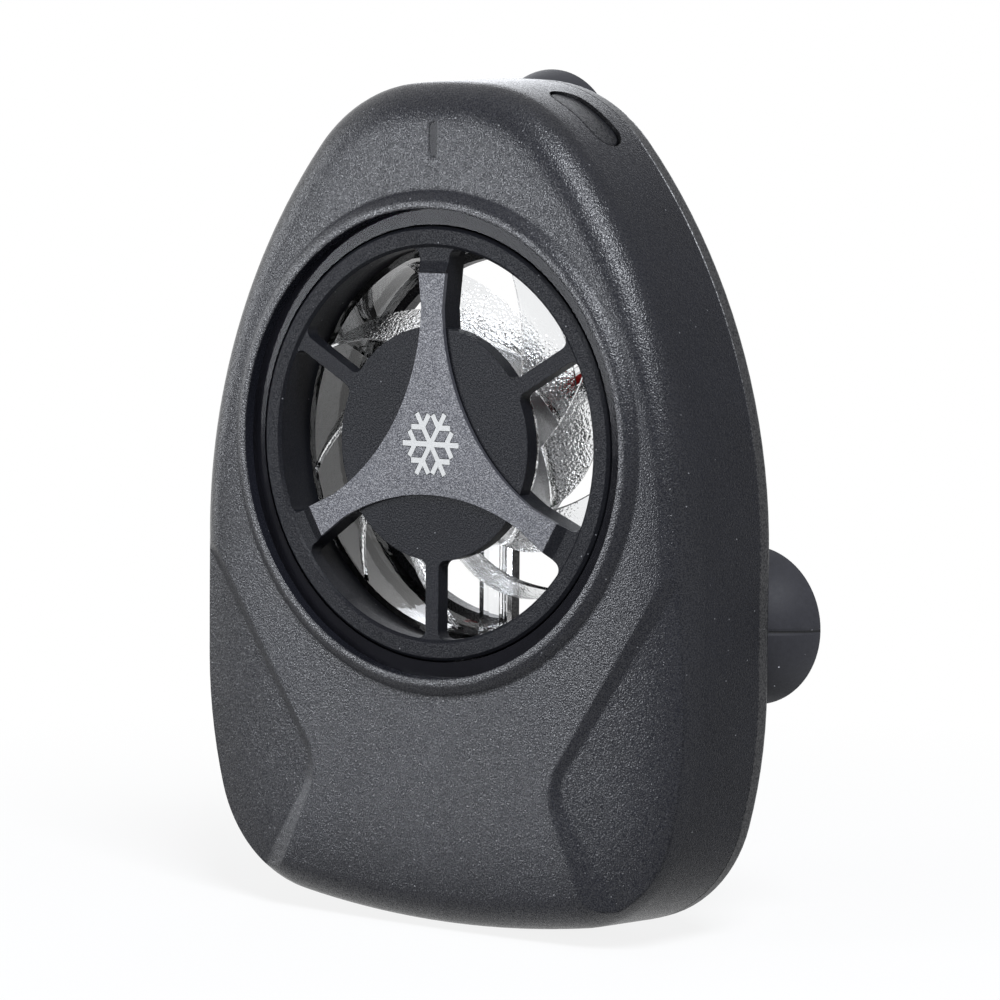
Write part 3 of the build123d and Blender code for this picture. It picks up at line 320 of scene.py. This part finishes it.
def worked_metal(name, base, rough, line=0.15 * MM, stretch=(1, 12, 1), depth=0.004 * MM):
    """Drawn or turned metal with fine lines and slight colour drift."""
    shade = Shade(name)
    lines = shade.noise(line, 3.0, 0.6, stretch)
    colour = shade.mix(shade.vary(shade.noise(4 * MM)), scaled(base, 0.85), base)
    roughness = shade.vary(lines, rough - 0.06, rough + 0.08)
    shade.surface(Base_Color=colour, Metallic=1.0, Roughness=roughness, Normal=shade.bump(lines, depth))
    return shade.owner


def board_face(name, base):
    """Circuit board: solder mask with a faint trace relief and pale vias."""
    shade = Shade(name)
    steps = shade.range(shade.cells(1.3 * MM), 0.42, 0.46)
    colour = shade.mix(steps, base, [channel + 0.004 for channel in scaled(base, 1.7)])
    via = shade.math("MULTIPLY", shade.specks(1.9 * MM, 0.07, 0.09), 0.6)
    colour = shade.mix(via, colour, (0.5, 0.42, 0.25))
    shade.surface(Base_Color=colour, Roughness=0.35, Normal=shade.bump(steps, 0.02 * MM))
    return shade.owner


def plain_detail(name, base, rough, size=0.4 * MM, depth=0.01 * MM, spread=0.15, shine=0.4):
    """Small plastic, painted or rubber piece with a fine uneven skin."""
    shade = Shade(name)
    skin = shade.noise(size, 3.0)
    colour = shade.mix(skin, scaled(base, 1 - spread), scaled(base, 1 + spread))
    roughness = shade.vary(skin, rough - 0.05, rough + 0.05)
    normal = shade.bump(skin, depth)
    shade.surface(Base_Color=colour, Roughness=roughness, Specular_IOR_Level=shine, Normal=normal)
    return shade.owner


def silicone(name):
    """Matt black silicone with dust specks and, on each side cup, the mould's parting line: a groove in
    painted shade.
    """
    shade = Shade(name)
    skin = shade.noise(0.5 * MM, 3.0, 0.6)
    sparse = shade.range(shade.noise(2.5 * MM, 1.0), 0.52, 0.6)
    dust = shade.math("MULTIPLY", shade.specks(1.1 * MM, 0.05, 0.09), sparse)
    colour = shade.mix(skin, (0.012, 0.012, 0.014), (0.022, 0.022, 0.026))
    colour = shade.mix(dust, colour, (0.42, 0.42, 0.44))
    from_seam = shade.math("ABSOLUTE", shade.math("SUBTRACT", shade.axis("Z"), PARTING_HEIGHT))
    # The middle of the parting groove is painted near black, as shade in the groove
    parting_shade = shade.range(from_seam, 0.07 * MM, 0.16 * MM, 1.0, 0.0)
    colour = shade.mix(shade.math("MULTIPLY", parting_shade, 0.9), colour, (0.003, 0.003, 0.003))
    groove = shade.range(from_seam, 0.0, 0.35 * MM)
    shade.surface(
        Base_Color=colour,
        Roughness=shade.vary(skin, 0.5, 0.62),
        Specular_IOR_Level=0.1,
        Sheen_Weight=0.15,
        Sheen_Roughness=0.5,
        Normal=shade.bump(groove, 0.12 * MM, shade.bump(skin, 0.02 * MM)),
    )
    return shade.owner


def smoked_lens(name):
    """Smoked, polished lens: mostly black gloss that lets a little light straight through."""
    shade = Shade(name)
    ripple = shade.noise(6 * MM)
    gloss = shade.surface(
        Base_Color=shade.mix(ripple, (0.004, 0.004, 0.005), (0.007, 0.007, 0.009)),
        Roughness=shade.vary(shade.noise(2 * MM, 3.0), 0.06, 0.12),
        Specular_IOR_Level=0.04,
        Normal=shade.bump(ripple, 0.02 * MM),
    )
    shade.blend(0.12, gloss, shade.shader("ShaderNodeBsdfTransparent", (0.75, 0.77, 0.82)))
    return shade.owner


def lamp_package(name):
    """Off-white body of a surface mounted lamp, faintly mottled."""
    shade = Shade(name)
    grain = shade.noise(0.3 * MM)
    colour = shade.mix(grain, (0.55, 0.55, 0.5), (0.75, 0.74, 0.68))
    shade.surface(Base_Color=colour, Roughness=0.3, Normal=shade.bump(grain, 0.01 * MM))
    return shade.owner


materials = {}


def look(name, make, *values, **named):
    materials[name] = make(name, *values, **named)


look(
    "shell_charcoal", grained_plastic, CHARCOAL, grain=0.15 * MM, depth=0.052 * MM, rough=0.27, shine=0.26,
    speck=0.3, edge=0.5 * MM, grain_on_walls=0.8, shine_on_walls=0.22, fall=1.7 * MM,
)
look("cover_black", grained_plastic, SATIN_BLACK, 0.2 * MM, 0.012 * MM, rough=0.42, shine=0.32, speck=0.1)
look(
    "guard_charcoal", grained_plastic, SATIN_BLACK, grain=0.15 * MM, depth=0.03 * MM, rough=0.42, shine=0.07,
    speck=0.25, edge=0.12 * MM, grain_on_walls=0.4,
)
look(
    "star_grey", grained_plastic, STAR_GREY, grain=0.15 * MM, depth=0.03 * MM, rough=0.36, shine=0.26,
    speck=0.4, edge=0.06 * MM, grain_on_walls=0.5,
)
look(
    "button_black", grained_plastic, SATIN_BLACK, grain=0.2 * MM, depth=0.04 * MM, rough=0.34, shine=0.07,
    speck=0.5, edge=0.35 * MM, grain_on_walls=1.2,
)
look("badge_silver", plain_detail, (0.26, 0.26, 0.25), 0.4, size=0.2 * MM, spread=0.3)
look("lens_smoked", smoked_lens)
look("guide_clear", clear_plastic, (0.8, 0.82, 0.86), 0.15)
look("clear_plastic", clear_plastic, CLEAR, 0.03)
look("clear_rotor", clear_plastic, CLEAR, 0.03, frosted=HUB_RADIUS)
look("cup_silicone", silicone)
look("pad_foam", plain_detail, (0.07, 0.07, 0.07), 0.9, size=0.3 * MM, depth=0.08 * MM)

look("board_green", board_face, (0.008, 0.06, 0.03))
look("board_black", board_face, (0.006, 0.006, 0.007))
look("led_white", lamp_package)
look("chip_black", plain_detail, (0.02, 0.02, 0.021), 0.5)
look("wire_red", plain_detail, (0.5, 0.012, 0.012), 0.35)
look("wire_black", plain_detail, (0.012, 0.012, 0.013), 0.4)
look("ribbon_amber", plain_detail, (0.5, 0.2, 0.03), 0.3)

look("screw_steel", worked_metal, (0.2, 0.2, 0.21), 0.35)
look("bright_steel", worked_metal, (0.66, 0.66, 0.65), 0.22)
look("core_steel", worked_metal, (0.3, 0.3, 0.31), 0.45, 0.35 * MM, (0.05, 1, 0.05), 0.03 * MM)
look("winding_copper", worked_metal, (0.72, 0.3, 0.12), 0.3, 0.2 * MM, (0.1, 1, 1), 0.05 * MM)
look("bearing_bronze", worked_metal, (0.55, 0.38, 0.2), 0.5, 0.1 * MM, (1, 1, 1))
look("battery_foil", worked_metal, (0.7, 0.7, 0.72), 0.32, 1.6 * MM, (1, 1, 1), 0.06 * MM)

# These two look unlike the finish that the record gives them
look_of = {"indicator_light_pipe": "lens_smoked", "rotor_yoke": "screw_steel"}
slot_of = {entry["node"]: entry["material_slot"] for entry in frame["record"]["subparts"]}
for name, node in nodes.items():
    node.data.materials.clear()
    node.data.materials.append(materials[look_of.get(name, slot_of[name])])

# Floor: pale paper that turns to plain white away from the object, and keeps its shadow near it
FLOOR_REACH = 3.0
FLOOR_GAP = 0.02 * MM
floor_height = cad_box[0][2] - FLOOR_GAP
quarters = ((-1, -1), (1, -1), (1, 1), (-1, 1))
corners = [(x * FLOOR_REACH, y * FLOOR_REACH, floor_height) for x, y in quarters]
floor_mesh = bpy.data.meshes.new("floor")
floor_mesh.from_pydata(corners, [], [(0, 1, 2, 3)])
floor = bpy.data.objects.new("floor", floor_mesh)
bpy.context.scene.collection.objects.link(floor)

paper = Shade("floor_paper")
plain = paper.shader("ShaderNodeBsdfDiffuse", (0.6, 0.6, 0.6))
white = paper.shader("ShaderNodeEmission", (1, 1, 1), 1.0)
away = paper.range(paper.diagonal(paper.axis("X"), paper.axis("Y")), 0.04, 0.16, 0.86, 1.0)
paper.blend(paper.math("MULTIPLY", paper.seen_rays(), away), plain, white)
floor_mesh.materials.append(paper.owner)

# World: a dim cool room that shows as white
world = Shade("studio", world=True)
room = world.shader("ShaderNodeBackground", (0.88, 0.93, 1.0), 0.14)
backdrop = world.shader("ShaderNodeBackground", (1, 1, 1), 1.0)
world.blend(world.seen_rays(), room, backdrop)
bpy.context.scene.world = world.owner


def direction(azimuth, elevation):
    """Unit vector towards an azimuth in degrees, 0 in front and 90 on the right, and an elevation."""
    a, e = radians(azimuth), radians(elevation)
    return Vector((sin(a) * cos(e), -cos(a) * cos(e), sin(e)))


LAMP_DISTANCE = 0.9
LAMP_TINT = (0.91, 0.94, 1.0)


def softbox(name, azimuth, elevation, width, height, level):
    """Rectangular lamp aimed at the object; level is its own brightness."""
    towards = direction(azimuth, elevation)
    lamp = bpy.data.lights.new(name, "AREA")
    lamp.shape = "RECTANGLE"
    lamp.size = width
    lamp.size_y = height
    lamp.energy = level * pi * width * height
    lamp.color = LAMP_TINT
    holder = bpy.data.objects.new(name, lamp)
    holder.location = towards * LAMP_DISTANCE
    holder.rotation_mode = "QUATERNION"
    holder.rotation_quaternion = (-towards).to_track_quat("-Z", "Y")
    bpy.context.scene.collection.objects.link(holder)


softbox("key_lamp", azimuth=-35, elevation=4, width=0.34, height=0.3, level=28.0)
softbox("left_lamp", azimuth=-88, elevation=5, width=0.2, height=0.6, level=6.0)
softbox("edge_lamp", azimuth=50, elevation=44, width=0.32, height=0.3, level=50.0)
softbox("back_lamp", azimuth=205, elevation=20, width=0.5, height=0.4, level=2.6)
softbox("top_lamp", azimuth=10, elevation=84, width=0.4, height=0.2, level=1.5)

# Camera, in degrees and mm
CAMERA_AZIMUTH = 36.746
CAMERA_ELEVATION = 4.568
CAMERA_ROLL = 0.518
CAMERA_DISTANCE = 418.69
CAMERA_TARGET = (9.598, -21.2, -5.123)
SENSOR_WIDTH = 36
FOCAL_LENGTH = 149.855

swing, roll = radians(CAMERA_AZIMUTH), radians(CAMERA_ROLL)
back = direction(CAMERA_AZIMUTH, CAMERA_ELEVATION)
level_right = Vector((cos(swing), sin(swing), 0))
level_up = back.cross(level_right)
right = cos(roll) * level_right + sin(roll) * level_up
up = cos(roll) * level_up - sin(roll) * level_right
lens = bpy.data.cameras.new("camera")
lens.sensor_width = SENSOR_WIDTH
lens.lens = FOCAL_LENGTH
lens.clip_start = 0.02
lens.clip_end = 50
camera = bpy.data.objects.new("camera", lens)
turn = Matrix((right, up, back)).transposed().to_4x4()
place = Vector(CAMERA_TARGET) * MM + back * CAMERA_DISTANCE * MM
camera.matrix_world = Matrix.Translation(place) @ turn
bpy.context.scene.collection.objects.link(camera)
bpy.context.scene.camera = camera

bpy.context.scene.view_settings.view_transform = "Standard"
